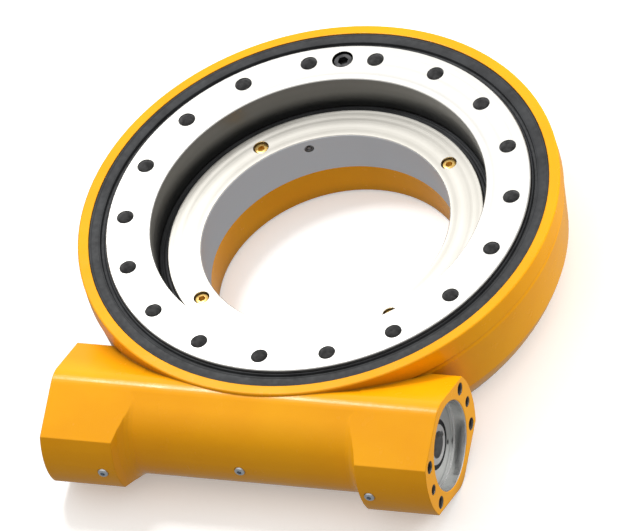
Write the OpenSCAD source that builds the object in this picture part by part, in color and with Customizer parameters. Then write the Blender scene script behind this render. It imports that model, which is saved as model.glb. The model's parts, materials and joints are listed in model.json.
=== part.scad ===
// Worm-driven slewing ring: a ball slewing ring closed in a cast drum, turned by one worm.
// Origin: ring axis on the base face. +Z up through the output face, worm along X on the -Y side,
// motor port facing +X. Millimetres.

/* [Output ring] */
// Height of the whole drive, base face to output face
height = 109; // [107:1:114]
// Outside diameter of the output ring at its face
ring_od = 398.4; // [397:0.2:399]
// Bore of the output ring at its face
ring_bore_d = 315; // [313:1:316]
// Pitch circle of the output bolt holes
output_pcd = 365; // [360:1:368]
// Number of output bolt holes
output_holes = 18; // [12:1:18]
// Bolt hole diameter on both bolt circles
bolt_d = 16; // [12:1:16]
// Depth of the output bolt holes
output_hole_depth = 25; // [15:1:26]

/* [Inner ring] */
// Bore through the inner ring and the housing
bore_d = 233.6; // [220:0.2:236]
// Outside diameter of the inner ring at its top face
inner_top_od = 296.8; // [290:0.2:298]
// Distance from the output face down to the inner ring's top face
inner_drop = 32.2; // [30:0.1:36]
// Pitch circle of the screws that hold the inner ring
screw_pcd = 262; // [256:1:264]
// Number of screws that hold the inner ring
screw_count = 4; // [4:4:8]

/* [Ball race] */
// Ball diameter
ball_d = 22.2; // [20:0.1:22.4]
// Number of balls
ball_count = 40; // [36:1:40]
// Pitch diameter of the balls
ball_pcd = 306; // [305:0.5:307]

/* [Drum] */
// Outside diameter of the rim round the top of the drum
rim_od = 452.6; // [448:0.2:456]
// Distance from the output face down to the rim
rim_drop = 2; // [1:0.5:3]
// Height of the rim
rim_h = 19.5; // [16:0.5:22]
// Outside diameter of the drum wall just under the rim's groove
wall_top_od = 450.2; // [449:0.2:451]
// Outside diameter of the drum wall at its lower edge
wall_od = 437.8; // [436:0.2:440]
// Height of the drum wall's lower edge above the base face
wall_foot = 33; // [30:0.5:35]
// Pitch circle of the base bolt holes
base_pcd = 330; // [300:1:340]
// Number of base bolt holes
base_holes = 16; // [12:4:16]

/* [Worm housing] */
// Distance from the ring axis to the worm axis
centre_distance = 221.5; // [221:0.1:222]
// Height of the worm axis above the base face
worm_z = 52.5; // [52:0.1:53.5]
// Position of the motor face along the worm axis
motor_face = 185.5; // [184:0.5:190]
// Position of the far end face along the worm axis
far_face = -190.5; // [-196:0.5:-188]
// Radius of the end blocks' rounded sides
block_r = 65; // [63:0.5:66]
// Half width of the end blocks at the foot of their roof
block_corner_y = 57.5; // [57:0.1:58]
// Half height of the end blocks at the foot of their roof
block_corner_z = 30.3; // [29.5:0.1:30.6]
// Slope of the roof
roof_slope = 22.5; // [22:0.1:22.7]
// Rounding radius of the roof's crest
crest_r = 25; // [24:1:28]
// Radius of the barrel between the end blocks
barrel_r = 49.5; // [48.5:0.1:49.8]
// Inner end of the motor end block
motor_block_end = 117; // [112:1:120]
// Inner end of the far end block
far_block_end = -121.5; // [-123:0.5:-112]

/* [Worm gear] */
// Teeth on the output ring
wheel_teeth = 85; // [85:1:85]
// Module
gear_module = 4.5; // [4.5:0.1:4.5]
// Width of the toothed band
tooth_width = 20; // [14:1:20]
// Length of the worm thread
thread_l = 104; // [80:2:106]

/* [Motor port] */
// Diameter of the pilot bore
pilot_d = 82.55; // [82.5:0.05:82.6]
// Depth of the pilot bore
pilot_depth = 12; // [8:0.5:12]
// Depth from the motor face to the end of the worm shaft
shaft_recess = 12.3; // [12.1:0.1:14]
// Bore of the worm shaft for the motor shaft
motor_bore_d = 25.4; // [25.4:0.1:25.4]
// Width of the keyway in the worm shaft's bore
keyway_w = 6.35; // [6:0.05:6.5]
// Bolt circle of the motor flange
motor_pcd = 106.4; // [106:0.1:107]
// Angle of the four larger motor bolts from the horizontal
motor_bolt_angle = 27; // [25:0.5:28]

/* [Hidden] */

$fn = 96;
eps = 0.01;
gap = 0.3;                                   // clearance between bodies that move past each other
yellow = [1.0, 0.70, 0.04];
steel = [0.93, 0.93, 0.91];
grey = [0.62, 0.63, 0.64];
black = [0.17, 0.18, 0.19];
gold = [0.80, 0.58, 0.22];

rim_z = height - rim_drop;
inner_top = height - inner_drop;             // top face of the inner ring
seat_z = 34;                                 // seat of the inner ring on the housing
floor_z = 35.5;                              // floor of the gear chamber
ring_foot = 37;                              // underside of the output ring
chamber_r = 206;                             // wall of the gear chamber
seal_seat_r = 216.25;                        // recess for the top seal
seal_seat_h = 10;
groove_in = 1.9;                             // the groove under the rim goes in this far
groove_h = 5.5;                              // height of the groove, down to the wall's top edge
blend_l = 24;                                // length of the blend from an end block to the barrel

race_z = worm_z;                             // the ball race and the gear share the worm's plane
ball_r = ball_d / 2;
race_r = ball_pcd / 2;
race_groove_r = ball_r + gap;
land_gap = 1.5;                              // from the ball circle to each ring's land
outer_land_r = race_r + land_gap;
inner_land_r = race_r - land_gap;

// Gear: the ring's pitch radius, and the worm's from the centre distance
wheel_r = wheel_teeth * gear_module / 2;
worm_r = centre_distance - wheel_r;
addendum = gear_module;
dedendum = 1.2 * gear_module;
wheel_tip_r = wheel_r + addendum;
wheel_root_r = wheel_r - dedendum;
worm_tip_r = worm_r + addendum;
worm_core_r = worm_r - dedendum;
pressure_angle = 20;
lead = PI * gear_module;                     // one start
lead_angle = atan(lead / (2 * PI * worm_r));
slot_play = 0.25;                            // each flank of a tooth slot stands back by this
thread_play = 0.3;                           // each flank of the thread is thinned by this
flange_foot = worm_z + 28.5;                 // the ring's flange clears the worm above this

// Worm bearings, from the worm's middle outwards along X
cavity_half = 75;
cavity_r = 40;
bore_step_r = 36;                            // the worm threads in through this
cup_r = 40;
bearing_in = 124;                            // inner face of each bearing
bearing_w = 26;
bearing_out = bearing_in + bearing_w;
cone_bore_r = 22.5;
roller_tilt = 12;
roller_l = 18;
roller_big_r = 4.6;
roller_small_r = 3.7;
roller_count = 16;
roller_path_r = 31.3;                        // the rollers' middles from the worm axis
shaft_end = motor_face - shaft_recess;
sleeve_r = 19;                               // worm shaft outside the motor end bearing
seal_r = 23.4;
adjuster_bore_r = 40;                        // threaded bore behind each pilot
adjuster_in = bearing_out;
adjuster_out = 170;
plug_out = -176;
roller_in = 4;                               // the rollers start this far into the bearing
roller_half = (roller_big_r + roller_small_r) / 2;
shoulder_r = 27;                             // shaft between the thread and the bearings
motor_bore_depth = 48;
thread_sides = 36;                           // rings of the thread's sweep in each turn
thread_root_r = worm_core_r - 0.5;           // the thread's foot lies just inside the core

// Small fittings
plug_spots = [[-134, block_r], [-5, barrel_r], [126, block_r]];  // along the worm, and out from it
plug_tilt = 3;                               // the oil plugs point this far below the horizontal
plug_r = 4.9;
screw_head_r = 6.5;
screw_head_sink = 9;                         // the screw heads sit this far below the inner ring's face
grease_angle = 116;                          // grease port in the bore
grease_z = 66;
fill_angle = 100;                            // grease filling hole in the output ring
fill_r = 10;
fill_depth = 14;

module along_worm(x = 0) {
  translate([x, -centre_distance, worm_z]) rotate([90, 0, 90]) children();
}

function roof_apex() = block_corner_z + block_corner_y * tan(roof_slope);
function crest_centre() = roof_apex() - crest_r / cos(roof_slope);
function crest_arc() = [for (i = [0 : 8]) let (a = roof_slope * (4 - i) / 4)
  [crest_r * sin(a), crest_centre() + crest_r * cos(a)]];
function upside_down(points) = [for (p = points) [-p[0], -p[1]]];

// Section of an end block: rounded sides under a shallow roof, the same below
module block_section() {
  reach = 70;
  eave = roof_apex() - reach * tan(roof_slope);
  roof = concat([[reach, eave]], crest_arc(), [[-reach, eave]]);
  intersection() {
    circle(r = block_r, $fn = 180);
    polygon(concat(roof, upside_down(roof)));
  }
}

// Section of the barrel: a round tube with the roof's crest running on along it
module barrel_section() {
  foot_r = barrel_r - 0.1;
  foot = [foot_r * sin(28), foot_r * cos(28)];
  crest = concat([foot], crest_arc(), [[-foot[0], foot[1]]]);
  circle(r = barrel_r, $fn = 180);
  polygon(concat(crest, upside_down(crest)));
}

// A block runs from its outer face to a hollow curve that brings it down to the barrel
function blend_r(t) = barrel_r - 0.3 + (block_r + 1.3 - barrel_r) * pow(1 - t, 4);
module end_block(outer, inner) {
  dir = sign(outer);
  l = abs(outer - inner);
  blend = [for (i = [0 : 6]) [blend_r(i / 6), l + blend_l * i / 6]];
  intersection() {
    along_worm(min(outer, inner - dir * blend_l)) linear_extrude(height = l + blend_l) block_section();
    translate([outer, -centre_distance, worm_z]) rotate([0, -dir * 90, 0])
      rotate_extrude($fn = 180)
        polygon(concat([[0, 0], [block_r + 1, 0]], blend, [[0, l + blend_l]]));
  }
}

// How far the casting draws in below its wall's lower edge, d lower down
function tuck(d) = d * (0.42 + 0.0072 * d);
module drum_solid() {
  wall_r = wall_od / 2;
  rim_r = rim_od / 2;
  rim_foot = rim_z - rim_h;
  rotate_extrude($fn = 180) polygon(concat(
    [[bore_d / 2, 1.5], [bore_d / 2 + 1.5, 0]],
    [for (i = [6 : -1 : 0]) [wall_r - tuck(wall_foot * i / 6), wall_foot * (1 - i / 6)]],
    [[wall_top_od / 2, rim_foot - groove_h], [rim_r - groove_in, rim_foot - 1], [rim_r - 0.6, rim_foot],
     [rim_r, rim_foot + 0.6], [rim_r, rim_z - 1], [rim_r - 1, rim_z],
     [output_pcd / 2, rim_z], [output_pcd / 2, seat_z], [bore_d / 2, seat_z]]));
}

module chamber() {
  rotate_extrude($fn = 180) polygon([
    [race_r - 3, floor_z], [chamber_r, floor_z], [chamber_r, rim_z - seal_seat_h],
    [seal_seat_r, rim_z - seal_seat_h], [seal_seat_r, height + 1], [bore_d / 2 - 1, height + 1],
    [bore_d / 2 - 1, seat_z], [race_r - 3, seat_z]]);
}

// Bores of the worm housing on one side: dir is the side, face its outer face
module worm_bores(face) {
  dir = sign(face);
  translate([0, -centre_distance, worm_z]) rotate([0, dir * 90, 0]) {
    cylinder(r = bore_step_r, h = bearing_in);
    translate([0, 0, bearing_in - 2]) cylinder(r = cup_r, h = bearing_w + 2);
    translate([0, 0, bearing_out - eps]) cylinder(r = adjuster_bore_r, h = abs(face) - bearing_out);
    translate([0, 0, abs(face) - pilot_depth]) cylinder(d = pilot_d, h = pilot_depth + 1);
    translate([0, 0, abs(face) - 1]) cylinder(d1 = pilot_d, d2 = pilot_d + 3, h = 1.5);
  }
}

module motor_bolt_holes() {
  depth = 22;
  along_worm(motor_face - depth) {
    for (a = [motor_bolt_angle, 180 - motor_bolt_angle, 180 + motor_bolt_angle, -motor_bolt_angle])
      rotate([0, 0, a]) translate([motor_pcd / 2, 0, 0]) cylinder(d = 12, h = depth + 1);
    for (a = [0, 180]) rotate([0, 0, a]) translate([motor_pcd / 2, 0, 0]) cylinder(d = 10, h = depth + 1);
  }
}

// The three oil plugs stand on the front of the worm housing
module at_oil_plugs() {
  for (spot = plug_spots)
    translate([spot[0], -centre_distance, worm_z]) rotate([90 + plug_tilt, 0, 0])
      translate([0, 0, spot[1]]) children();
}

module housing() color(yellow) difference() {
  union() {
    drum_solid();
    along_worm(far_block_end - 1) linear_extrude(height = motor_block_end - far_block_end + 2)
      barrel_section();
    end_block(motor_face, motor_block_end);
    end_block(far_face, far_block_end);
  }
  chamber();
  along_worm(-cavity_half) cylinder(r = cavity_r, h = 2 * cavity_half);
  worm_bores(motor_face);
  worm_bores(far_face);
  motor_bolt_holes();
  at_oil_plugs() translate([0, 0, -9]) cylinder(r = plug_r + 0.1, h = 12);
  for (i = [0 : base_holes - 1]) rotate([0, 0, (i + 0.5) * 360 / base_holes])
    translate([base_pcd / 2, 0, -1]) cylinder(d = bolt_d, h = 26);
  for (i = [0 : screw_count - 1]) rotate([0, 0, 45 + i * 360 / screw_count])
    translate([screw_pcd / 2, 0, seat_z - 22]) cylinder(r = 4, h = 23);
}

module inner_ring() color(steel) difference() {
  rotate_extrude($fn = 180) difference() {
    polygon([[bore_d / 2, seat_z], [inner_land_r - 1, seat_z], [inner_land_r, seat_z + 1],
      [inner_land_r, race_z + 15], [inner_top_od / 2, race_z + 15], [inner_top_od / 2, inner_top - 0.8],
      [inner_top_od / 2 - 0.8, inner_top], [bore_d / 2 + 0.8, inner_top], [bore_d / 2, inner_top - 0.8]]);
    translate([race_r, race_z]) circle(r = race_groove_r);
  }
  for (i = [0 : screw_count - 1]) rotate([0, 0, 45 + i * 360 / screw_count])
    translate([screw_pcd / 2, 0, 0]) {
      translate([0, 0, seat_z - 1]) cylinder(r = 4.5, h = inner_top);
      translate([0, 0, inner_top - screw_head_sink]) cylinder(r = screw_head_r + 1, h = 10);
    }
  rotate([0, 0, grease_angle]) translate([bore_d / 2 - 1, 0, grease_z]) rotate([0, 90, 0]) {
    cylinder(r = 4.5, h = 9);
    cylinder(r = 2, h = 40);
  }
}

// Socket screws with a rounded edge to the head
module inner_ring_screws() color(gold) {
  head_z = inner_top - screw_head_sink;
  head_h = 7.5;
  for (i = [0 : screw_count - 1]) rotate([0, 0, 45 + i * 360 / screw_count])
    translate([screw_pcd / 2, 0, 0]) difference() {
      union() {
        translate([0, 0, seat_z - 18]) cylinder(r = 3.9, h = head_z - seat_z + 18 + eps);
        translate([0, 0, head_z]) cylinder(r = screw_head_r, h = head_h - 1.1);
        translate([0, 0, head_z + head_h - 1.1 - eps])
          cylinder(r1 = screw_head_r, r2 = screw_head_r - 0.9, h = 1.1);
      }
      translate([0, 0, head_z + 3]) cylinder(r = 3.46, h = 6, $fn = 6);
    }
}

// Rubber ring with a wiping lip, a groove behind the lip and a flat back
module top_seal() color(black) {
  lip_r = ring_od / 2 + gap;
  z = rim_z - seal_seat_h;
  rotate_extrude($fn = 180) polygon([[lip_r + 2, z], [seal_seat_r, z], [seal_seat_r, rim_z - 0.8],
    [seal_seat_r - 1, rim_z - 0.4], [lip_r + 6.6, rim_z - 0.4], [lip_r + 6, rim_z - 1],
    [lip_r + 5.6, rim_z - 3.4], [lip_r + 2.2, rim_z - 3.4], [lip_r + 1.2, rim_z - 1.6],
    [lip_r, rim_z - 1.4], [lip_r, rim_z - 3.4]]);
}

module bore_seal() color(black) rotate_extrude($fn = 180) polygon([
  [inner_top_od / 2, race_z + 15.4], [outer_land_r - 1, race_z + 15.4],
  [ring_bore_d / 2 - gap, race_z + 18.5], [ring_bore_d / 2 - gap, race_z + 20.5],
  [ring_bore_d / 2 - 2.5, race_z + 21.5], [inner_top_od / 2 + 1, race_z + 21.5],
  [inner_top_od / 2, race_z + 20.5]]);

// Flat ring between the chamber floor and the output ring's foot, with a lip up the inner ring
module lower_seal() color(black) {
  foot = floor_z + 0.2;
  rotate_extrude($fn = 180) polygon([[inner_land_r + 0.1, foot], [outer_land_r + 6, foot],
    [outer_land_r + 6, ring_foot - gap], [inner_land_r + 1.4, ring_foot - gap],
    [inner_land_r + 1.4, ring_foot + 4], [inner_land_r + 0.1, ring_foot + 4]]);
}

// One slot of the gear, cut by a straight tool tilted to the lead angle
function involute(angle) = tan(angle) * 180 / PI - angle;
function slot_half(r) = r * PI / 180 *
  (90 / wheel_teeth - involute(pressure_angle) + involute(acos(wheel_r * cos(pressure_angle) / r)))
  + slot_play;
module tooth_slot() {
  levels = [wheel_root_r, wheel_r, wheel_tip_r, wheel_tip_r + 2];
  translate([0, 0, worm_z]) rotate([0, lead_angle, 0])
    linear_extrude(height = tooth_width + 6, center = true)
      polygon(concat([for (r = levels) [slot_half(r), -r]],
        [for (i = [3 : -1 : 0]) [-slot_half(levels[i]), -levels[i]]]));
}

module output_ring() color(steel) difference() {
  rotate_extrude($fn = 180) difference() {
    polygon([[outer_land_r + 1, ring_foot], [wheel_root_r - 1, ring_foot], [wheel_root_r, ring_foot + 1],
      [wheel_root_r, worm_z - tooth_width / 2 - 2], [wheel_tip_r - 2, worm_z - tooth_width / 2],
      [wheel_tip_r, worm_z - tooth_width / 2 + 2], [wheel_tip_r, worm_z + tooth_width / 2 - 2],
      [wheel_tip_r - 2, worm_z + tooth_width / 2], [wheel_root_r, worm_z + tooth_width / 2 + 2],
      [wheel_root_r, flange_foot - 1], [wheel_root_r + 1, flange_foot],
      [ring_od / 2 - 1, flange_foot], [ring_od / 2, flange_foot + 1], [ring_od / 2, height - 0.8],
      [ring_od / 2 - 0.8, height], [ring_bore_d / 2 + 0.8, height], [ring_bore_d / 2, height - 0.8],
      [ring_bore_d / 2, race_z + 14.5], [outer_land_r, race_z + 14], [outer_land_r, ring_foot + 1]]);
    translate([race_r, race_z]) circle(r = race_groove_r);
  }
  for (k = [0 : wheel_teeth - 1]) rotate([0, 0, k * 360 / wheel_teeth]) tooth_slot();
  for (i = [0 : output_holes - 1]) rotate([0, 0, 90 + i * 360 / output_holes])
    translate([output_pcd / 2, 0, height - output_hole_depth])
      cylinder(d = bolt_d, h = output_hole_depth + 1);
  rotate([0, 0, fill_angle]) translate([output_pcd / 2, 0, 0]) {
    translate([0, 0, flange_foot - 5]) cylinder(r = fill_r - 4, h = 40);
    translate([0, 0, height - fill_depth]) cylinder(r = fill_r, h = 20);
  }
}

// Plug over the grease filling hole that opens into the gear chamber
module fill_plug() color(grey) rotate([0, 0, fill_angle])
  translate([output_pcd / 2, 0, height - fill_depth])
  difference() {
    union() {
      cylinder(r = fill_r, h = 11);
      translate([0, 0, 11 - eps]) cylinder(r1 = fill_r - 0.2, r2 = fill_r - 1.2, h = 1);
    }
    translate([0, 0, 5]) cylinder(r = 5.2, h = 10, $fn = 6);
  }

module balls() color(grey) for (i = [0 : ball_count - 1])
  rotate([0, 0, i * 360 / ball_count]) translate([race_r, 0, race_z]) sphere(r = ball_r, $fn = 24);

module ball_spacers() color([0.9, 0.9, 0.85]) for (i = [0 : ball_count - 1])
  rotate([0, 0, (i + 0.5) * 360 / ball_count]) translate([race_r, 0.6, race_z]) rotate([90, 0, 0])
    difference() {
      cylinder(r = 8, h = 1.2, $fn = 32);
      translate([0, 0, -1]) cylinder(r = 3, h = 4, $fn = 24);
    }

// Both ends of the worm hang on the same parts, so each is drawn once from the worm's middle outwards
module at_bearings() {
  for (end = [-1, 1]) translate([0, -centre_distance, worm_z]) rotate([0, end * 90, 0])
    translate([0, 0, bearing_in]) children();
}

function roller_r(x) = roller_path_r + (x - bearing_w / 2) * tan(roller_tilt);

module worm_bearing_cups() color(grey) at_bearings() rotate_extrude($fn = 120) polygon([
  [roller_r(1) + roller_half + 0.9 - 0.6, 1], [cup_r - 0.05, 1], [cup_r - 0.05, bearing_w],
  [roller_r(bearing_w - 3) + roller_half + 1.7, bearing_w],
  [roller_r(bearing_w - 3) + roller_half + 1.4, bearing_w - 3]]);

module worm_bearing_cones() color(grey) at_bearings() rotate_extrude($fn = 120) polygon([
  [cone_bore_r, 0], [roller_r(0) - roller_half + 1.6, 0], [roller_r(2) - roller_half + 1.4, 2.6],
  [roller_r(3) - roller_half - 0.9, 3], [roller_r(23) - roller_half - 1.6, 23],
  [roller_r(23) - roller_half + 0.4, 23.2], [roller_r(23) - roller_half + 0.4, bearing_w - 0.5],
  [cone_bore_r, bearing_w - 0.5]]);

module worm_bearing_rollers() color(grey) at_bearings() for (i = [0 : roller_count - 1])
  rotate([0, 0, i * 360 / roller_count]) translate([roller_r(roller_in), 0, roller_in])
    rotate([0, roller_tilt, 0]) cylinder(r1 = roller_small_r, r2 = roller_big_r, h = roller_l, $fn = 32);

module worm_bearing_cages() color(gold) at_bearings() difference() {
  rotate_extrude($fn = 120) polygon([[roller_r(2.2) - 0.6, 3.1], [roller_r(2.2) + 0.6, 3.1],
    [roller_r(23.6) + 0.6, 24], [roller_r(23.6) - 0.6, 24]]);
  for (i = [0 : roller_count - 1]) rotate([0, 0, i * 360 / roller_count])
    translate([roller_r(roller_in), 0, roller_in]) rotate([0, roller_tilt, 0]) translate([0, 0, -0.2])
      cylinder(r1 = roller_small_r + 0.2, r2 = roller_big_r + 0.2, h = roller_l + 0.4, $fn = 32);
}

// Ring nut that loads the motor end bearing and carries the shaft seal
module bearing_adjuster() color(grey) along_worm() difference() {
  rotate_extrude($fn = 120) polygon([[34.5, adjuster_in + 0.2], [adjuster_bore_r - 0.1, adjuster_in + 0.2],
    [adjuster_bore_r - 0.1, adjuster_out - 0.8], [adjuster_bore_r - 0.9, adjuster_out],
    [seal_r, adjuster_out], [seal_r, adjuster_out - 9], [34.5, adjuster_out - 9]]);
  for (a = [0 : 90 : 270]) rotate([0, 0, a + 45]) translate([34, 0, adjuster_out - 5])
    cylinder(r = 2.5, h = 6);
}

module shaft_seal() color(black) along_worm() rotate_extrude($fn = 120) polygon([
  [sleeve_r + 0.1, adjuster_out - 5], [sleeve_r + 1, adjuster_out - 7.5], [seal_r, adjuster_out - 7.5],
  [seal_r, adjuster_out + 0.6], [seal_r - 1, adjuster_out + 1], [sleeve_r + 2.6, adjuster_out + 1],
  [sleeve_r + 2, adjuster_out - 1.5], [sleeve_r + 0.1, adjuster_out - 2]]);

// Plug that loads the far end bearing and closes the bore
module far_end_plug() color(grey) along_worm() difference() {
  outer_r = adjuster_bore_r - 0.1;
  rotate_extrude($fn = 120) polygon([[0, -adjuster_in - 14], [34.5, -adjuster_in - 14],
    [34.5, -adjuster_in - 0.2], [outer_r, -adjuster_in - 0.2], [outer_r, -adjuster_in - 8],
    [outer_r - 2.5, -adjuster_in - 8], [outer_r - 2.5, -adjuster_in - 11.6],
    [outer_r, -adjuster_in - 11.6], [outer_r, plug_out + 1], [outer_r - 0.9, plug_out], [0, plug_out]]);
  for (a = [0 : 90 : 270]) rotate([0, 0, a]) translate([30, 0, plug_out - 1]) cylinder(r = 3, h = 6);
  translate([0, 0, plug_out - 1]) cylinder(r = 7, h = 6, $fn = 6);
}

module far_end_o_ring() color(black) along_worm(-adjuster_in - 9.8)
  rotate_extrude($fn = 120) translate([adjuster_bore_r - 1.35, 0]) circle(r = 1.2, $fn = 24);

// Internal circlip in front of the far end plug, open at the top
module far_end_circlip() color(grey) along_worm(plug_out - 2.2) difference() {
  cylinder(r = adjuster_bore_r - 0.05, h = 2);
  translate([0, 0, -1]) cylinder(r = adjuster_bore_r - 4.5, h = 4);
  translate([-5, 0, -1]) cube([10, 60, 4]);
}

module adjuster_lock_screws() color(grey) along_worm() for (a = [0 : 90 : 270])
  rotate([0, 0, a + 45]) translate([34, 0, adjuster_out - 5]) difference() {
    cylinder(r = 2.45, h = 4.2);
    translate([0, 0, 2]) cylinder(r = 1.4, h = 4, $fn = 6);
  }

module oil_plugs() color([0.75, 0.78, 0.8]) at_oil_plugs() difference() {
  union() {
    translate([0, 0, -8]) cylinder(r = plug_r, h = 9.2);
    translate([0, 0, 1]) cylinder(r1 = plug_r - 0.05, r2 = plug_r - 0.8, h = 0.8);
  }
  translate([0, 0, -1.5]) cylinder(r = 2.4, h = 6, $fn = 6);
}

module bore_grease_port() color(black) rotate([0, 0, grease_angle])
  translate([bore_d / 2 + 1.2, 0, grease_z]) rotate([0, 90, 0]) difference() {
    cylinder(r = 4.4, h = 6.6);
    translate([0, 0, -1]) cylinder(r = 1.4, h = 9);
  }

// Worm shaft: hollow at the motor end, with a keyway, and solid at the far end
module worm_shaft() color(steel) along_worm() difference() {
  rotate_extrude($fn = 120) polygon([[0, -bearing_out - 6], [cone_bore_r - 1, -bearing_out - 6],
    [cone_bore_r, -bearing_out - 5], [cone_bore_r, -bearing_in], [shoulder_r, -bearing_in],
    [shoulder_r, -thread_l / 2 - 6], [worm_core_r, -thread_l / 2 - 2], [worm_core_r, thread_l / 2 + 2],
    [shoulder_r, thread_l / 2 + 6], [shoulder_r, bearing_in], [cone_bore_r, bearing_in],
    [cone_bore_r, bearing_out + 1], [sleeve_r, bearing_out + 2], [sleeve_r, shaft_end - 0.8],
    [sleeve_r - 0.8, shaft_end], [0, shaft_end]]);
  translate([0, 0, shaft_end - motor_bore_depth]) cylinder(d = motor_bore_d, h = motor_bore_depth + 1);
  translate([0, -keyway_w / 2, shaft_end - 40]) cube([motor_bore_d / 2 + 2.8, keyway_w, 41]);
}

// Thread swept round the worm's core: its four corners on each ring, axial section a rack tooth
function thread_half(r) = lead / 4 - thread_play + (worm_r - r) * tan(pressure_angle);
module worm_thread() color(steel) along_worm() {
  turns = thread_l / lead;
  steps = round(turns * thread_sides);
  corners = [[thread_root_r, -thread_half(thread_root_r)], [worm_tip_r, -thread_half(worm_tip_r)],
    [worm_tip_r, thread_half(worm_tip_r)], [thread_root_r, thread_half(thread_root_r)]];
  points = [for (i = [0 : steps]) let (a = 360 * turns * (i / steps - 0.5), z = lead * a / 360,
      run_out = min(1, 0.15 + 3 * min(i, steps - i) / thread_sides))
    for (c = corners) let (r = thread_root_r + (c[0] - thread_root_r) * run_out)
      [r * cos(a), r * sin(a), z + c[1] * (0.4 + 0.6 * run_out)]];
  faces = concat([[0, 1, 2, 3]],
    [for (i = [0 : steps - 1], j = [0 : 3]) let (p = 4 * i + j, q = 4 * i + (j + 1) % 4) [p, p + 4, q]],
    [for (i = [0 : steps - 1], j = [0 : 3]) let (p = 4 * i + j, q = 4 * i + (j + 1) % 4) [q, p + 4, q + 4]],
    [[4 * steps + 3, 4 * steps + 2, 4 * steps + 1, 4 * steps]]);
  polyhedron(points = points, faces = faces);
}

// Thin steel discs that throw grease back from the bearings
module oil_slingers() color(grey) at_bearings() translate([0, 0, -2.4]) difference() {
  cylinder(r = 33, h = 1.2);
  translate([0, 0, -1]) cylinder(r = shoulder_r + 0.05, h = 4);
}

housing();
inner_ring();
inner_ring_screws();
top_seal();
bore_seal();
lower_seal();
worm_bearing_cups();
bearing_adjuster();
shaft_seal();
far_end_plug();
far_end_o_ring();
far_end_circlip();
adjuster_lock_screws();
oil_plugs();
bore_grease_port();
output_ring();
fill_plug();
balls();
ball_spacers();
worm_shaft();
worm_thread();
worm_bearing_cones();
oil_slingers();
worm_bearing_rollers();
worm_bearing_cages();
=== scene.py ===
import json
import math

import bpy
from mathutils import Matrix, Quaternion, Vector


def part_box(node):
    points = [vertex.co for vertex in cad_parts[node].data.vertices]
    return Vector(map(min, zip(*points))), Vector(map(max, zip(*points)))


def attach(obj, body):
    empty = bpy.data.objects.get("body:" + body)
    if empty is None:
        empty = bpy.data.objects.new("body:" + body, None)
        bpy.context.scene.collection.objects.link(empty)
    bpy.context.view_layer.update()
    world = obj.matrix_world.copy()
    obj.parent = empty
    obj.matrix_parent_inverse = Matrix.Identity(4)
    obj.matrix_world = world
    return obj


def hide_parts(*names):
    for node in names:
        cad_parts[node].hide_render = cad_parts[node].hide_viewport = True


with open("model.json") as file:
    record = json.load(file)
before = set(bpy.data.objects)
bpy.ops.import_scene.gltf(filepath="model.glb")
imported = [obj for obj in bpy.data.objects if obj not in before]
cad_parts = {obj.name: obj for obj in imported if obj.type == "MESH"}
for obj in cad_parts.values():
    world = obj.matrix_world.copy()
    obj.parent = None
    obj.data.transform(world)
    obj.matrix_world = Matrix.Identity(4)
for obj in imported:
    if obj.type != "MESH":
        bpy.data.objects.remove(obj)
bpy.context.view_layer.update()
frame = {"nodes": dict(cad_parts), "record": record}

bpy.ops.object.select_all(action="DESELECT")
mounts = {mount["name"]: mount for mount in frame["record"]["mounts"]}


# ---------------------------------------------------------------------------------------------
# Camera. A long lens looks down from the motor side, over the worm, and is rolled a little, so
# that the ring's axis leans to the left. The whole drive fills the picture with a small margin.
aim = Vector((0.0007, -0.0412, 0.0742))
lens, sensor_width, picture_width = 1000.0, 36.0, 0.574
azimuth, elevation, roll = math.radians(30.59), math.radians(45.85), math.radians(-18.1)
towards_camera = Vector((
    math.sin(azimuth) * math.cos(elevation),
    -math.cos(azimuth) * math.cos(elevation),
    math.sin(elevation)))
camera_distance = picture_width * lens / sensor_width
bpy.ops.object.camera_add(location=aim + towards_camera * camera_distance)
camera = bpy.context.object
camera.name = "camera"
camera.data.lens = lens
camera.data.sensor_width = sensor_width
camera.data.clip_end = 2 * camera_distance
camera.rotation_mode = "QUATERNION"
camera.rotation_quaternion = (-towards_camera).to_track_quat("-Z", "Y") @ Quaternion((0, 0, 1), roll)
bpy.context.scene.camera = camera


# ---------------------------------------------------------------------------------------------
# Light. A white tent, brightest above and a little behind the ring and dim towards the ground, so
# that upward faces are light and the sides are darker. One soft box lights the worm housing's crest
# from behind, and one the motor face from the side.
world = bpy.data.worlds.new("white_tent")
bpy.context.scene.world = world
world.use_nodes = True
sky = world.node_tree
direction = sky.nodes.new("ShaderNodeTexCoord")
brightest = Vector((-0.1, 0.3, 0.95)).normalized()
towards_top = sky.nodes.new("ShaderNodeVectorMath")
towards_top.operation = "DOT_PRODUCT"
towards_top.inputs[1].default_value = brightest
sky.links.new(direction.outputs["Generated"], towards_top.inputs[0])
tent = sky.nodes.new("ShaderNodeMapRange")
tent.interpolation_type = "SMOOTHSTEP"
sky.links.new(towards_top.outputs["Value"], tent.inputs["Value"])
for socket, value in (("From Min", 0.05), ("From Max", 0.9), ("To Min", 0.34), ("To Max", 1.0)):
    tent.inputs[socket].default_value = value
sky.links.new(tent.outputs["Result"], sky.nodes["Background"].inputs["Strength"])
sky.nodes["Background"].inputs["Color"].default_value = (1.0, 0.99, 0.97, 1.0)
bpy.context.scene.view_settings.view_transform = "Standard"


def soft_box(name, place, size, power):
    """A round area lamp at place, turned towards the drive."""
    bpy.ops.object.light_add(type="AREA", location=place)
    lamp = bpy.context.object
    lamp.name = name
    lamp.data.shape = "DISK"
    lamp.data.size = size
    lamp.data.energy = power
    lamp.rotation_mode = "QUATERNION"
    lamp.rotation_quaternion = (Vector(place) - aim).to_track_quat("Z", "Y")
    return lamp


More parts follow.
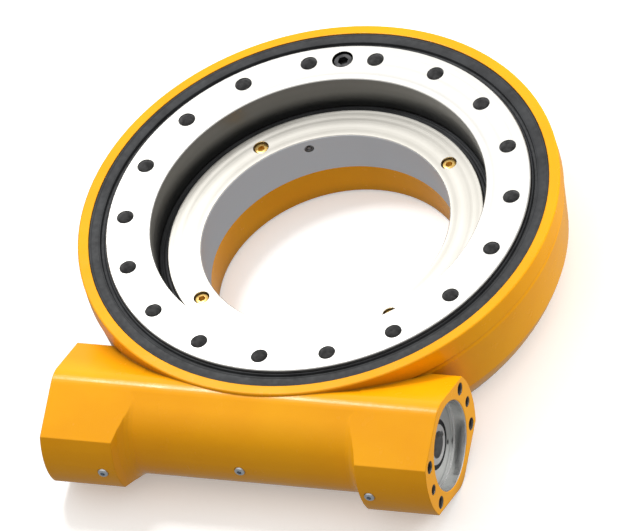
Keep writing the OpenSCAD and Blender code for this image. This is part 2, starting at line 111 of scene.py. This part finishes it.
soft_box("crest_box", (-0.60, 0.42, 1.5), size=0.34, power=12.5)
side_box = soft_box("side_box", (1.25, 0.85, 0.45), size=0.5, power=15.0)
side_box.visible_glossy = False


# ---------------------------------------------------------------------------------------------
# Floor. A pale matt studio board that the base stands on. It is painted, so its tone drifts a
# little and it has a faint roller texture. It throws no light and no reflection on the drive.
def node(tree, kind, inputs=None, **settings):
    """A shader node: inputs are values, or sockets to join to."""
    made = tree.nodes.new("ShaderNode" + kind)
    for key, value in settings.items():
        setattr(made, key, value)
    for key, value in (inputs or {}).items():
        if isinstance(value, bpy.types.NodeSocket):
            tree.links.new(value, made.inputs[key])
        else:
            made.inputs[key].default_value = value
    return made


def new_finish(name, roughness, metallic=0.0):
    """An empty finish, with its shader's plain numbers set."""
    finish = bpy.data.materials.new(name)
    finish.use_nodes = True
    shader = finish.node_tree.nodes["Principled BSDF"]
    shader.inputs["Roughness"].default_value = roughness
    shader.inputs["Metallic"].default_value = metallic
    return finish, finish.node_tree, shader


def speckle(tree, scale, detail=3.0):
    """Noise on the piece's own metres; scale is in lumps per metre."""
    place = node(tree, "TexCoord").outputs["Object"]
    return node(tree, "TexNoise", {"Vector": place, "Scale": scale, "Detail": detail}).outputs["Fac"]


def colour_between(tree, shader, factor, dark, light):
    """Base colour from dark to light as the factor goes through its middle range."""
    ramp = node(tree, "ValToRGB", {"Fac": factor})
    ramp.color_ramp.elements[0].position = 0.35
    ramp.color_ramp.elements[0].color = (*dark, 1.0)
    ramp.color_ramp.elements[1].position = 0.65
    ramp.color_ramp.elements[1].color = (*light, 1.0)
    tree.links.new(ramp.outputs["Color"], shader.inputs["Base Color"])


def roughness_between(tree, shader, factor, low, high):
    """Roughness from low to high as the factor goes through its middle range."""
    span = node(tree, "MapRange", {
        "Value": factor, "From Min": 0.3, "From Max": 0.7, "To Min": low, "To Max": high})
    tree.links.new(span.outputs["Result"], shader.inputs["Roughness"])


def relief(tree, shader, height, distance, strength=1.0, under=None):
    """Raises the surface by height times distance, in metres; under is a normal to start from."""
    bump = node(tree, "Bump", {"Height": height, "Distance": distance, "Strength": strength})
    if under is not None:
        tree.links.new(under, bump.inputs["Normal"])
    tree.links.new(bump.outputs["Normal"], shader.inputs["Normal"])
    return bump.outputs["Normal"]


def dress(piece, finish):
    """Gives the piece one finish all over."""
    piece.data.materials.clear()
    piece.data.materials.append(finish)


board, tree, shader = new_finish("painted_board", 0.8)
colour_between(tree, shader, speckle(tree, 3.0), (0.90, 0.90, 0.89), (0.94, 0.94, 0.94))
relief(tree, shader, speckle(tree, 900.0), 0.0001)
shader.inputs["Emission Color"].default_value = (1.0, 1.0, 1.0, 1.0)
shader.inputs["Emission Strength"].default_value = 0.3
bpy.ops.mesh.primitive_plane_add(size=30.0, location=(0, 0, -0.0005))
floor = bpy.context.object
floor.name = "studio_floor"
floor.visible_diffuse = False
floor.visible_glossy = False
dress(floor, board)


# ---------------------------------------------------------------------------------------------
# Housing. One iron casting, drum and worm tube together, sprayed with yellow machine enamel.
# The worm's bores, the motor bolt holes and the base face were masked, and are bare turned iron.
RING_AXIS, WORM_AXIS = (0.0, 0.0, 1.0), (1.0, 0.0, 0.0)
pilot_centre = tuple(mounts["motor_pilot"]["pos_m"])
pilot_r = mounts["motor_pilot"]["dims"]["r_mm"] / 1000
port_mouth = Vector((mounts["motor_face"]["pos_m"][0], pilot_centre[1], pilot_centre[2]))

# How far the motor bolt holes reach from the port's middle, above or below it, and into its face
motor_hole_reach, motor_hole_rise, motor_hole_depth = 0.060, 0.031, 0.024
edge_r, nook_width = 0.0015, 0.022


def below(tree, value, limit):
    """A mask: 1 where value is under the limit, 0 elsewhere."""
    return node(tree, "Math", {0: value, 1: limit}, operation="LESS_THAN").outputs["Value"]


def above(tree, value, limit):
    """A mask: 1 where value is over the limit, 0 elsewhere."""
    return node(tree, "Math", {0: value, 1: limit}, operation="GREATER_THAN").outputs["Value"]


def both(tree, first, second):
    """The overlap of two masks."""
    return node(tree, "Math", {0: first, 1: second}, operation="MULTIPLY").outputs["Value"]


def either(tree, first, second):
    """Two masks together."""
    return node(tree, "Math", {0: first, 1: second}, operation="MAXIMUM").outputs["Value"]


def from_axis(tree, centre, axis):
    """The offset from centre, its distance from the axis through centre, and its height along it."""
    place = node(tree, "TexCoord").outputs["Object"]
    across = Vector((1, 1, 1)) - Vector(axis)
    offset = node(tree, "VectorMath", {0: place, 1: centre}, operation="SUBTRACT").outputs["Vector"]
    spread = node(tree, "VectorMath", {0: offset, 1: across}, operation="MULTIPLY").outputs["Vector"]
    radius = node(tree, "VectorMath", {0: spread}, operation="LENGTH").outputs["Value"]
    height = node(tree, "VectorMath", {0: offset, 1: axis}, operation="DOT_PRODUCT").outputs["Value"]
    return offset, radius, height


enamel, tree, shader = new_finish("yellow_enamel", 0.24)
offset, radius, along = from_axis(tree, port_mouth, WORM_AXIS)
upward = node(tree, "SeparateXYZ", {"Vector": offset}).outputs["Z"]
rise = node(tree, "Math", {0: upward}, operation="ABSOLUTE").outputs["Value"]
beside_port = both(tree, below(tree, radius, motor_hole_reach), below(tree, rise, motor_hole_rise))
down_holes = both(tree, below(tree, along, -0.0004), above(tree, along, -motor_hole_depth))
in_worm_bore = below(tree, radius, pilot_r + 0.0003)
on_base = below(tree, upward, 0.0002 - port_mouth.z)
bare = either(tree, either(tree, in_worm_bore, on_base), both(tree, beside_port, down_holes))
paint = node(tree, "ValToRGB", {"Fac": speckle(tree, 14.0)})
paint.color_ramp.elements[0].position, paint.color_ramp.elements[1].position = 0.35, 0.65
paint.color_ramp.elements[0].color = (0.96, 0.395, 0.002, 1.0)
paint.color_ramp.elements[1].color = (1.0, 0.435, 0.003, 1.0)
iron = node(tree, "ValToRGB", {"Fac": speckle(tree, 70.0)})
iron.color_ramp.elements[0].color = (0.76, 0.77, 0.77, 1.0)
iron.color_ramp.elements[1].color = (0.88, 0.89, 0.89, 1.0)
# Painted shade: the enamel is darkened towards dark brown in corners and crevices, as far as the ambient
# occlusion finds nearby surfaces.
nook = node(tree, "AmbientOcclusion", {"Distance": nook_width}, samples=8).outputs["AO"]
painted_corner_shade = node(tree, "MapRange", {
    "Value": nook, "From Min": 0.25, "From Max": 0.85, "To Min": 0.75, "To Max": 0.0})
enamel_with_painted_shade = node(tree, "Mix", {0: painted_corner_shade.outputs["Result"], 6: paint.outputs["Color"]}, data_type="RGBA")
enamel_with_painted_shade.inputs[7].default_value = (0.22, 0.095, 0.006, 1.0)
coat = node(tree, "Mix", {0: bare, 6: enamel_with_painted_shade.outputs[2], 7: iron.outputs["Color"]}, data_type="RGBA")
tree.links.new(coat.outputs[2], shader.inputs["Base Color"])
tree.links.new(bare, shader.inputs["Metallic"])
roughness_between(tree, shader, speckle(tree, 60.0), 0.2, 0.28)
rounded = node(tree, "Bevel", {"Radius": edge_r}, samples=6).outputs["Normal"]
casting_skin = relief(tree, shader, speckle(tree, 110.0, 2.0), 0.00025, 0.5, rounded)
relief(tree, shader, speckle(tree, 620.0, 2.0), 0.00005, 0.6, casting_skin)
shader.inputs["Specular IOR Level"].default_value = 0.24
dress(frame["nodes"]["housing"], enamel)


# ---------------------------------------------------------------------------------------------
# Output ring and inner ring. Forged steel, hardened at the race, with faces and bores turned
# on a lathe. The tool leaves fine rings round the axis, and broad bands where it was reset.
def turned_steel(name, dark, light, roughness, centre, axis):
    """Steel turned about the axis through centre: fine grooves, broad bands and a faint mottle."""
    finish, tree, shader = new_finish(name, roughness, metallic=1.0)
    radius, height = from_axis(tree, centre, axis)[1:]
    feed = node(tree, "Math", {0: radius, 1: height}, operation="ADD").outputs["Value"]
    bands = node(tree, "TexNoise", {"W": feed, "Scale": 160.0, "Detail": 5.0}, noise_dimensions="1D")
    grooves = node(tree, "TexNoise", {"W": feed, "Scale": 1500.0, "Detail": 2.0}, noise_dimensions="1D")
    stain = speckle(tree, 35.0)
    tone = node(tree, "Math", {0: bands.outputs["Fac"], 1: stain}, operation="ADD").outputs["Value"]
    half = node(tree, "Math", {0: tone, 1: 0.5}, operation="MULTIPLY").outputs["Value"]
    colour_between(tree, shader, half, dark, light)
    roughness_between(tree, shader, bands.outputs["Fac"], roughness - 0.06, roughness + 0.06)
    relief(tree, shader, grooves.outputs["Fac"], 0.00004, 0.5)
    return finish


def recolour_where(finish, mask, colour):
    """Lays another colour over part of a turned finish."""
    tree = finish.node_tree
    base = tree.nodes["Principled BSDF"].inputs["Base Color"]
    laid = node(tree, "Mix", {0: mask, 6: base.links[0].from_socket}, data_type="RGBA")
    laid.inputs[7].default_value = (*colour, 1.0)
    tree.links.new(laid.outputs[2], base)


ring_face = tuple(mounts["output_bolts"]["pos_m"])
output_steel = turned_steel(
    "turned_output_steel", (0.78, 0.77, 0.74), (0.85, 0.84, 0.81), 0.36, ring_face, RING_AXIS)
inner_steel = turned_steel(
    "turned_inner_steel", (0.60, 0.58, 0.53), (0.66, 0.64, 0.59), 0.4, ring_face, RING_AXIS)
dress(frame["nodes"]["output_ring"], output_steel)
dress(frame["nodes"]["inner_ring"], inner_steel)

# The output ring's bore is painted dark grey and its drilled holes near black, as painted shade in the bore
# and the holes.
# Both start a little under the face, and the holes lie in a band each side of the bolt circle.
shaded_bore_r, face_edge = 0.1579, 0.0006
bolt_circle_r = mounts["output_bolts"]["dims"]["pcd_mm"] / 2000
half_band, hole_depth = 0.0106, 0.0255
tree = output_steel.node_tree
radius, height = from_axis(tree, ring_face, RING_AXIS)[1:]
under_face = below(tree, height, -face_edge)
outside = above(tree, radius, bolt_circle_r - half_band)
inside = below(tree, radius, bolt_circle_r + half_band)
down_holes = both(tree, under_face, above(tree, height, -hole_depth))
recolour_where(output_steel, both(tree, below(tree, radius, shaded_bore_r), under_face), (0.26, 0.26, 0.255))
recolour_where(output_steel, both(tree, both(tree, outside, inside), down_holes), (0.07, 0.07, 0.072))

# The inner ring's bore is painted brighter and bluer than the ring's faces, a painted reflection of the
# pale floor under it
centre_bore_r = mounts["centre_bore"]["dims"]["r_mm"] / 1000
radius = from_axis(inner_steel.node_tree, ring_face, RING_AXIS)[1]
in_centre_bore = below(inner_steel.node_tree, radius, centre_bore_r + 0.0003)
recolour_where(inner_steel, in_centre_bore, (0.84, 0.87, 0.93))


# ---------------------------------------------------------------------------------------------
# Seals. Black nitrile rubber, moulded in closed rings. The top seal sits in the housing's seat
# and its lip wipes the output ring. The bore seal is pressed over the inner ring.
def spun(name, outline, centre, axis, steps=180):
    """A closed outline of (radius, height) pairs, extruded point by point and spun round the axis."""
    outward = Vector((0, 0, 1)) if axis[0] else Vector((1, 0, 0))
    points = [Vector(centre) + outward * radius + Vector(axis) * height for radius, height in outline]
    bpy.ops.mesh.primitive_plane_add(size=0.001, location=points[0])
    bpy.ops.object.transform_apply(location=True, rotation=True, scale=True)
    piece = bpy.context.object
    piece.name = name
    bpy.ops.object.mode_set(mode="EDIT")
    bpy.ops.mesh.merge(type="CENTER")
    for here, there in zip(points, points[1:] + points[:1]):
        bpy.ops.mesh.extrude_region_move(TRANSFORM_OT_translate={"value": there - here})
    bpy.ops.mesh.select_all(action="SELECT")
    bpy.ops.mesh.remove_doubles(threshold=1e-6)
    bpy.ops.mesh.spin(steps=steps, angle=math.tau, center=centre, axis=axis)
    bpy.ops.mesh.select_all(action="SELECT")
    bpy.ops.mesh.remove_doubles(threshold=1e-6)
    bpy.ops.mesh.delete_loose()
    bpy.ops.mesh.select_all(action="SELECT")
    bpy.ops.mesh.normals_make_consistent(inside=False)
    bpy.ops.object.mode_set(mode="OBJECT")
    bpy.ops.object.shade_smooth_by_angle(angle=math.radians(40))
    return piece


def soften(piece, width):
    """Rounds the piece's sharp edges."""
    bevel = piece.modifiers.new("soft_edges", "BEVEL")
    bevel.width = width
    bevel.segments = 2
    bevel.limit_method = "ANGLE"
    bevel.angle_limit = math.radians(35)
    bpy.context.view_layer.objects.active = piece
    bpy.ops.object.modifier_apply(modifier=bevel.name)
    bpy.ops.object.shade_smooth_by_angle(angle=math.radians(40))


rubber, tree, shader = new_finish("black_rubber", 0.55)
colour_between(tree, shader, speckle(tree, 40.0), (0.012, 0.013, 0.015), (0.024, 0.026, 0.029))
roughness_between(tree, shader, speckle(tree, 220.0), 0.55, 0.7)
relief(tree, shader, speckle(tree, 1400.0), 0.00003, 0.6)

ring_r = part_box("output_ring")[1].x
seal_low, seal_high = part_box("top_seal")
lip_r, seat_r, seal_z = ring_r + 0.0003, seal_high.x, seal_high.z
top_seal = spun("top_seal_moulding", [
    (seat_r, seal_low.z), (seat_r, seal_z - 0.0008), (seat_r - 0.0008, seal_z),
    (seat_r - 0.0022, seal_z), (seat_r - 0.0028, seal_z - 0.0005),
    (lip_r + 0.0072, seal_z - 0.0005), (lip_r + 0.0066, seal_z),
    (lip_r + 0.0058, seal_z), (lip_r + 0.0050, seal_z - 0.0030), (lip_r + 0.0026, seal_z - 0.0034),
    (lip_r + 0.0016, seal_z - 0.0012), (lip_r + 0.0006, seal_z - 0.0009), (lip_r, seal_z - 0.0016),
    (lip_r + 0.0012, seal_z - 0.0050), (lip_r + 0.0024, seal_low.z)], (0, 0, 0), RING_AXIS)
soften(top_seal, 0.0003)
dress(top_seal, rubber)
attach(top_seal, "root")
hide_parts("top_seal")

# The bore seal's lip runs just inside the output ring's bore
bore_low, bore_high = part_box("bore_seal")
band_r, foot_z, crown_z = bore_high.x, bore_low.z, bore_high.z
hub_r = band_r - 0.0088
bore_seal = spun("bore_seal_moulding", [
    (hub_r, foot_z), (hub_r + 0.0051, foot_z), (band_r - 0.0004, foot_z + 0.0031),
    (band_r, foot_z + 0.0036), (band_r - 0.0006, foot_z + 0.0046), (band_r - 0.0022, foot_z + 0.0050),
    (band_r - 0.0032, foot_z + 0.0038), (band_r - 0.0048, foot_z + 0.0038),
    (band_r - 0.0056, crown_z - 0.0003), (band_r - 0.0062, crown_z), (hub_r + 0.0010, crown_z),
    (hub_r, crown_z - 0.0010)], (0, 0, 0), RING_AXIS)
soften(bore_seal, 0.0002)
dress(bore_seal, rubber)
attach(bore_seal, "root")
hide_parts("bore_seal")

# The shaft seal stands flush with the worm shaft's end, with a dust lip inside its rolled edge
shaft_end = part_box("worm_shaft")[1].x
cup_low, cup_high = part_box("shaft_seal")
cup_r, sleeve_r = (cup_high.y - cup_low.y) / 2, 0.0191
cup_foot, cup_face = cup_low.x - pilot_centre[0], shaft_end - 0.0003 - pilot_centre[0]
shaft_seal = spun("shaft_seal_moulding", [
    (sleeve_r, cup_foot + 0.0025), (sleeve_r + 0.0009, cup_foot), (cup_r, cup_foot),
    (cup_r, cup_face - 0.0006), (cup_r - 0.0006, cup_face), (cup_r - 0.0014, cup_face),
    (cup_r - 0.0019, cup_face - 0.0009),
    (sleeve_r + 0.0016, cup_face - 0.0009), (sleeve_r + 0.0004, cup_face - 0.0002),
    (sleeve_r + 0.0001, cup_face - 0.0012), (sleeve_r + 0.0014, cup_face - 0.0030),
    (sleeve_r + 0.0016, cup_foot + 0.0040), (sleeve_r, cup_foot + 0.0035)],
    pilot_centre, WORM_AXIS, steps=120)
dress(shaft_seal, rubber)
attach(shaft_seal, "root")
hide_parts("shaft_seal")

# The seal at the foot of the gear chamber and the far end's o-ring are the same rubber
for name in ("lower_seal", "far_end_o_ring"):
    dress(frame["nodes"][name], rubber)


# ---------------------------------------------------------------------------------------------
# Ball race. Forty through-hardened steel balls run between the rings, polished, and kept apart
# by thin nylon spacers.
polished, tree, shader = new_finish("polished_bearing_steel", 0.12, metallic=1.0)
colour_between(tree, shader, speckle(tree, 80.0), (0.62, 0.63, 0.65), (0.72, 0.73, 0.74))
roughness_between(tree, shader, speckle(tree, 400.0), 0.09, 0.16)
nylon, tree, shader = new_finish("natural_nylon", 0.5)
colour_between(tree, shader, speckle(tree, 60.0), (0.78, 0.76, 0.68), (0.86, 0.85, 0.78))
relief(tree, shader, speckle(tree, 1800.0), 0.00002, 0.5)
dress(frame["nodes"]["balls"], polished)
dress(frame["nodes"]["ball_spacers"], nylon)


# ---------------------------------------------------------------------------------------------
# Worm shaft, thread and oil slingers. The worm is alloy steel, turned and then ground on the
# thread's flanks. A slinger is a thin turned disc inside each bearing.
worm_steel = turned_steel(
    "ground_worm_steel", (0.86, 0.87, 0.88), (0.95, 0.95, 0.96), 0.36, pilot_centre, WORM_AXIS)
for name in ("worm_shaft", "worm_thread", "oil_slingers"):
    dress(frame["nodes"][name], worm_steel)


# ---------------------------------------------------------------------------------------------
# Worm bearings. Two taper roller bearings: ground cups and cones, polished rollers and cages
# of pressed steel sheet.
bearing_steel = turned_steel(
    "ground_bearing_steel", (0.60, 0.61, 0.62), (0.70, 0.71, 0.72), 0.2, pilot_centre, WORM_AXIS)
for name in ("worm_bearing_cups", "worm_bearing_cones"):
    dress(frame["nodes"][name], bearing_steel)
dress(frame["nodes"]["worm_bearing_rollers"], polished)
sheet_steel, tree, shader = new_finish("pressed_cage_steel", 0.4, metallic=1.0)
colour_between(tree, shader, speckle(tree, 120.0), (0.5, 0.47, 0.4), (0.62, 0.6, 0.54))
relief(tree, shader, speckle(tree, 900.0), 0.00003, 0.5)
dress(frame["nodes"]["worm_bearing_cages"], sheet_steel)


# ---------------------------------------------------------------------------------------------
# Bearing adjuster, far end plug and circlip. The adjuster is bright turned steel. The plug is
# turned and the circlip punched, and both have a grey phosphate finish.
def cut_away(piece, cutter):
    """Takes the cutter's shape out of the piece, and removes the cutter."""
    cut = piece.modifiers.new("cut", "BOOLEAN")
    cut.operation = "DIFFERENCE"
    cut.object = cutter
    bpy.context.view_layer.objects.active = piece
    bpy.ops.object.modifier_apply(modifier=cut.name)
    bpy.data.objects.remove(cutter)


def joined(pieces):
    """Joins the pieces to the first of them."""
    bpy.ops.object.select_all(action="DESELECT")
    for piece in pieces:
        piece.select_set(True)
    bpy.context.view_layer.objects.active = pieces[0]
    bpy.ops.object.join()
    return pieces[0]


phosphate = turned_steel(
    "grey_phosphated_steel", (0.40, 0.41, 0.42), (0.52, 0.53, 0.54), 0.42, pilot_centre, WORM_AXIS)
bright_turned = turned_steel(
    "bright_adjuster_steel", (0.70, 0.71, 0.70), (0.82, 0.83, 0.82), 0.4, pilot_centre, WORM_AXIS)
dress(frame["nodes"]["bearing_adjuster"], bright_turned)
dress(frame["nodes"]["far_end_plug"], phosphate)

# The circlip is spring steel, with a lug each side of its gap at the top
clip_low, clip_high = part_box("far_end_circlip")
clip_r, clip_in = (clip_high.y - clip_low.y) / 2, clip_low.x
clip_centre = Vector((clip_in, (clip_low.y + clip_high.y) / 2, port_mouth.z))
clip_thick, clip_wide, clip_gap = clip_high.x - clip_low.x, 0.0045, 0.010
clip = spun("circlip_with_lugs", [
    (clip_r - clip_wide, 0), (clip_r, 0), (clip_r, clip_thick), (clip_r - clip_wide, clip_thick)],
    clip_centre, WORM_AXIS, steps=96)
bpy.ops.object.select_all(action="DESELECT")
bpy.ops.mesh.primitive_cube_add(size=clip_gap, location=clip_centre + Vector((0, 0, clip_r)))
cut_away(clip, bpy.context.object)
lug_r, lug_hole_r, lug_aside, lug_inward = 0.0042, 0.0013, 0.0036, 0.0018
lugs = []
for side in (-1, 1):
    lug_centre = clip_centre + Vector((
        0, side * (clip_gap / 2 + lug_aside), clip_r - clip_wide - lug_inward))
    lugs.append(spun("circlip_lug", [
        (lug_hole_r, 0), (lug_r, 0), (lug_r, clip_thick), (lug_hole_r, clip_thick)],
        lug_centre, WORM_AXIS, steps=32))
circlip = joined([clip] + lugs)
dress(circlip, phosphate)
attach(circlip, "root")
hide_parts("far_end_circlip")


# ---------------------------------------------------------------------------------------------
# Screws and plugs. Steel, plated yellow on the inner ring's screws and bright on the oil plugs,
# blackened on the adjuster's lock screws, phosphated on the fill plug and burnished on the nipple.
def plated(name, dark, light, roughness):
    """Steel with a thin, slightly uneven coat."""
    finish, tree, shader = new_finish(name, roughness, metallic=1.0)
    colour_between(tree, shader, speckle(tree, 180.0), dark, light)
    roughness_between(tree, shader, speckle(tree, 500.0), roughness - 0.08, roughness + 0.08)
    relief(tree, shader, speckle(tree, 1500.0), 0.00002, 0.5)
    return finish


def hex_socket(piece, centre, axis, across_flats, cutter_reach):
    """Cuts a hexagon socket into the piece, against the axis, with a cutter 0.5 mm above centre."""
    cutter_place = Vector(centre) + Vector(axis) * 0.0005
    turn = Vector((0, 0, 1)).rotation_difference(Vector(axis))
    bpy.ops.mesh.primitive_cylinder_add(
        vertices=6, radius=across_flats / math.sqrt(3), depth=2 * cutter_reach,
        location=cutter_place, rotation=turn.to_euler())
    cut_away(piece, bpy.context.object)


def round_the_ring(piece, count):
    """Copies the piece evenly round the ring's axis and joins the copies to it."""
    copies = [piece]
    for step in range(1, count):
        bpy.ops.object.select_all(action="DESELECT")
        piece.select_set(True)
        bpy.context.view_layer.objects.active = piece
        bpy.ops.object.duplicate()
        bpy.ops.transform.rotate(
            value=step * math.tau / count, orient_axis="Z", center_override=(0, 0, 0))
        bpy.ops.object.transform_apply(location=True, rotation=True, scale=True)
        copies.append(bpy.context.object)
    joined(copies)


# The inner ring's four socket screws, M8, sunk in the ring's counterbores
yellow_zinc = plated("yellow_zinc", (0.62, 0.38, 0.10), (0.80, 0.56, 0.20), 0.3)
screw_low, screw_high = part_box("inner_ring_screws")
head_r, head_l, shank_r = 0.0065, 0.0075, 0.0039
screw_circle = (screw_high.x - head_r) * math.sqrt(2)
first_screw = Vector((math.cos(math.pi / 4), math.sin(math.pi / 4), 0)) * screw_circle
top, foot = screw_high.z, screw_low.z
screws = spun("inner_ring_socket_screws", [
    (0, foot), (shank_r - 0.0006, foot), (shank_r, foot + 0.0006), (shank_r, top - head_l),
    (head_r - 0.0003, top - head_l), (head_r, top - head_l + 0.0003), (head_r, top - 0.0009),
    (head_r - 0.0003, top - 0.0003), (head_r - 0.0009, top), (0, top)], first_screw, RING_AXIS, steps=40)
hex_socket(screws, first_screw + Vector((0, 0, top)), RING_AXIS, across_flats=0.006, cutter_reach=0.0042)
round_the_ring(screws, 4)
dress(screws, yellow_zinc)
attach(screws, "root")
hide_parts("inner_ring_screws")

# Three oil plugs on the front of the worm housing, each pointing three degrees down: their places
# along the worm, and how far their seats stand from its axis
bright_zinc = plated("bright_zinc", (0.56, 0.62, 0.68), (0.70, 0.75, 0.80), 0.3)
oil_plug_seats = ((-0.134, 0.065), (-0.005, 0.0495), (0.126, 0.065))
droop = math.radians(3)
plug_axis = (0.0, -math.cos(droop), -math.sin(droop))
plug_r, plug_proud, plug_sunk = 0.0049, 0.0018, 0.008
plugs = []
for along, reach in oil_plug_seats:
    seat = Vector((along, port_mouth.y, port_mouth.z)) + Vector(plug_axis) * reach
    plug = spun("oil_plug_screws", [
        (0, -plug_sunk), (plug_r - 0.0006, -plug_sunk), (plug_r, 0.0006 - plug_sunk),
        (plug_r, plug_proud - 0.0012),
        (plug_r - 0.0003, plug_proud - 0.0006), (plug_r - 0.0009, plug_proud - 0.0001),
        (plug_r - 0.0013, plug_proud), (0, plug_proud)], seat, plug_axis, steps=40)
    plug_top = seat + Vector(plug_axis) * plug_proud
    hex_socket(plug, plug_top, plug_axis, across_flats=0.004, cutter_reach=0.0034)
    plugs.append(plug)
oil_plugs = joined(plugs)
dress(oil_plugs, bright_zinc)
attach(oil_plugs, "root")
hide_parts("oil_plugs")

# The plug over the grease filling hole turns with the output ring
dark_phosphate = plated("dark_phosphated_steel", (0.05, 0.05, 0.053), (0.11, 0.11, 0.114), 0.42)
fill_low, fill_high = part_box("fill_plug")
fill_r, fill_top, fill_foot = (fill_high.x - fill_low.x) / 2, fill_high.z, fill_low.z
fill_centre = Vector(((fill_low.x + fill_high.x) / 2, (fill_low.y + fill_high.y) / 2, 0))
fill_plug = spun("fill_plug_screw", [
    (0, fill_foot), (fill_r - 0.0012, fill_foot), (fill_r - 0.0002, fill_foot + 0.001),
    (fill_r - 0.0002, fill_top - 0.0022), (fill_r - 0.0008, fill_top - 0.0009),
    (fill_r - 0.0018, fill_top), (0, fill_top)], fill_centre, RING_AXIS, steps=40)
hex_socket(
    fill_plug, fill_centre + Vector((0, 0, fill_top)), RING_AXIS, across_flats=0.009, cutter_reach=0.0065)
dress(fill_plug, dark_phosphate)
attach(fill_plug, "ring")
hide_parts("fill_plug")

# A grease nipple with a small ball head, sunk in the inner ring's bore
burnished = plated("burnished_steel", (0.26, 0.26, 0.27), (0.36, 0.36, 0.37), 0.4)
port_low, port_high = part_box("bore_grease_port")
nipple_angle = math.radians(116)
inward = (-math.cos(nipple_angle), -math.sin(nipple_angle), 0.0)
nipple_r, nipple_l, nipple_sunk = (port_high.z - port_low.z) / 2, 0.0066, 0.0012
nipple_seat = Vector(inward) * -(centre_bore_r + nipple_sunk)
nipple_seat.z = (port_low.z + port_high.z) / 2
nipple = spun("bore_grease_nipple", [
    (0, -nipple_l), (nipple_r, -nipple_l), (nipple_r, -0.0006), (nipple_r - 0.0004, 0),
    (nipple_r - 0.0014, 0), (nipple_r - 0.0018, -0.0012), (0.0017, -0.0014), (0.0012, -0.0004),
    (0.0017, 0.0002), (0.0016, 0.0007), (0.0010, 0.0010), (0.0004, 0.0009), (0, 0.0004)],
    nipple_seat, inward, steps=32)
dress(nipple, burnished)
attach(nipple, "root")
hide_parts("bore_grease_port")

# The adjuster's grub screws
black_oxide = plated("black_oxide", (0.04, 0.04, 0.045), (0.08, 0.08, 0.085), 0.4)
dress(frame["nodes"]["adjuster_lock_screws"], black_oxide)


# ---------------------------------------------------------------------------------------------
# Tapped holes. The output ring, the base and the motor face are drilled and tapped. The tap
# leaves a V thread in each hole, which starts just under the face.
# Painted shade: the threads are coloured near black, standing for the shade deep inside the holes.
shaded_hole_thread = plated("shaded_hole_thread", (0.09, 0.09, 0.092), (0.16, 0.16, 0.163), 0.4)


def tapped(name, hole_r, pitch, depth, centre, axis, inset=0.0012):
    """Thread in one hole whose mouth is at centre. The hole goes in against the axis."""
    turns, ridge_h = int((depth - inset) / pitch), 0.55 * pitch
    wall, bottom = hole_r + 0.0002, -inset - turns * pitch
    ridges = []
    for turn in range(turns):
        ridges.append((hole_r, -inset - turn * pitch))
        ridges.append((hole_r - ridge_h, -inset - (turn + 0.5) * pitch))
    outline = [(wall, bottom), (wall, -inset + 0.0001)] + ridges + [(hole_r, bottom)]
    return spun(name, outline, centre, axis, steps=28)


def patterned(mount, name, pitch, depth, start, body):
    """Threads in all the holes of a bolt circle round the ring axis, the first at the start angle."""
    axis, face = tuple(mount["axis"]), mount["pos_m"][2]
    radius = mount["dims"]["pcd_mm"] / 2000
    hole = (radius * math.cos(start), radius * math.sin(start), face)
    thread = tapped(name, mount["dims"]["hole_r_mm"] / 1000, pitch, depth, hole, axis)
    round_the_ring(thread, mount["dims"]["count"])
    dress(thread, shaded_hole_thread)
    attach(thread, body)


patterned(
    mounts["output_bolts"], "output_hole_threads", pitch=0.002, depth=0.024, start=math.radians(90),
    body="ring")
patterned(
    mounts["base_bolts"], "base_hole_threads", pitch=0.002, depth=0.024, start=math.radians(11.25),
    body="root")

# Four M12 holes and two M10 holes round the motor port
larger, smaller = mounts["motor_bolts"]["dims"], mounts["motor_side_bolts"]["dims"]
corner = Vector((0, larger["spacing_x_mm"], larger["spacing_y_mm"])) / 2000
beside = Vector((0, smaller["spacing_x_mm"], 0)) / 2000
m12_pitch, m10_pitch, thread_depth = 0.00175, 0.0015, 0.021
motor_holes = []
for y, z in ((-1, -1), (-1, 1), (1, -1), (1, 1)):
    motor_holes.append((Vector((0, y * corner.y, z * corner.z)), larger, m12_pitch))
for side in (-1, 1):
    motor_holes.append((beside * side, smaller, m10_pitch))
threads = []
for away, hole, pitch in motor_holes:
    threads.append(tapped(
        "motor_hole_threads", hole["hole_r_mm"] / 1000, pitch, thread_depth, port_mouth + away, WORM_AXIS))
motor_threads = joined(threads)
dress(motor_threads, shaded_hole_thread)
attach(motor_threads, "root")
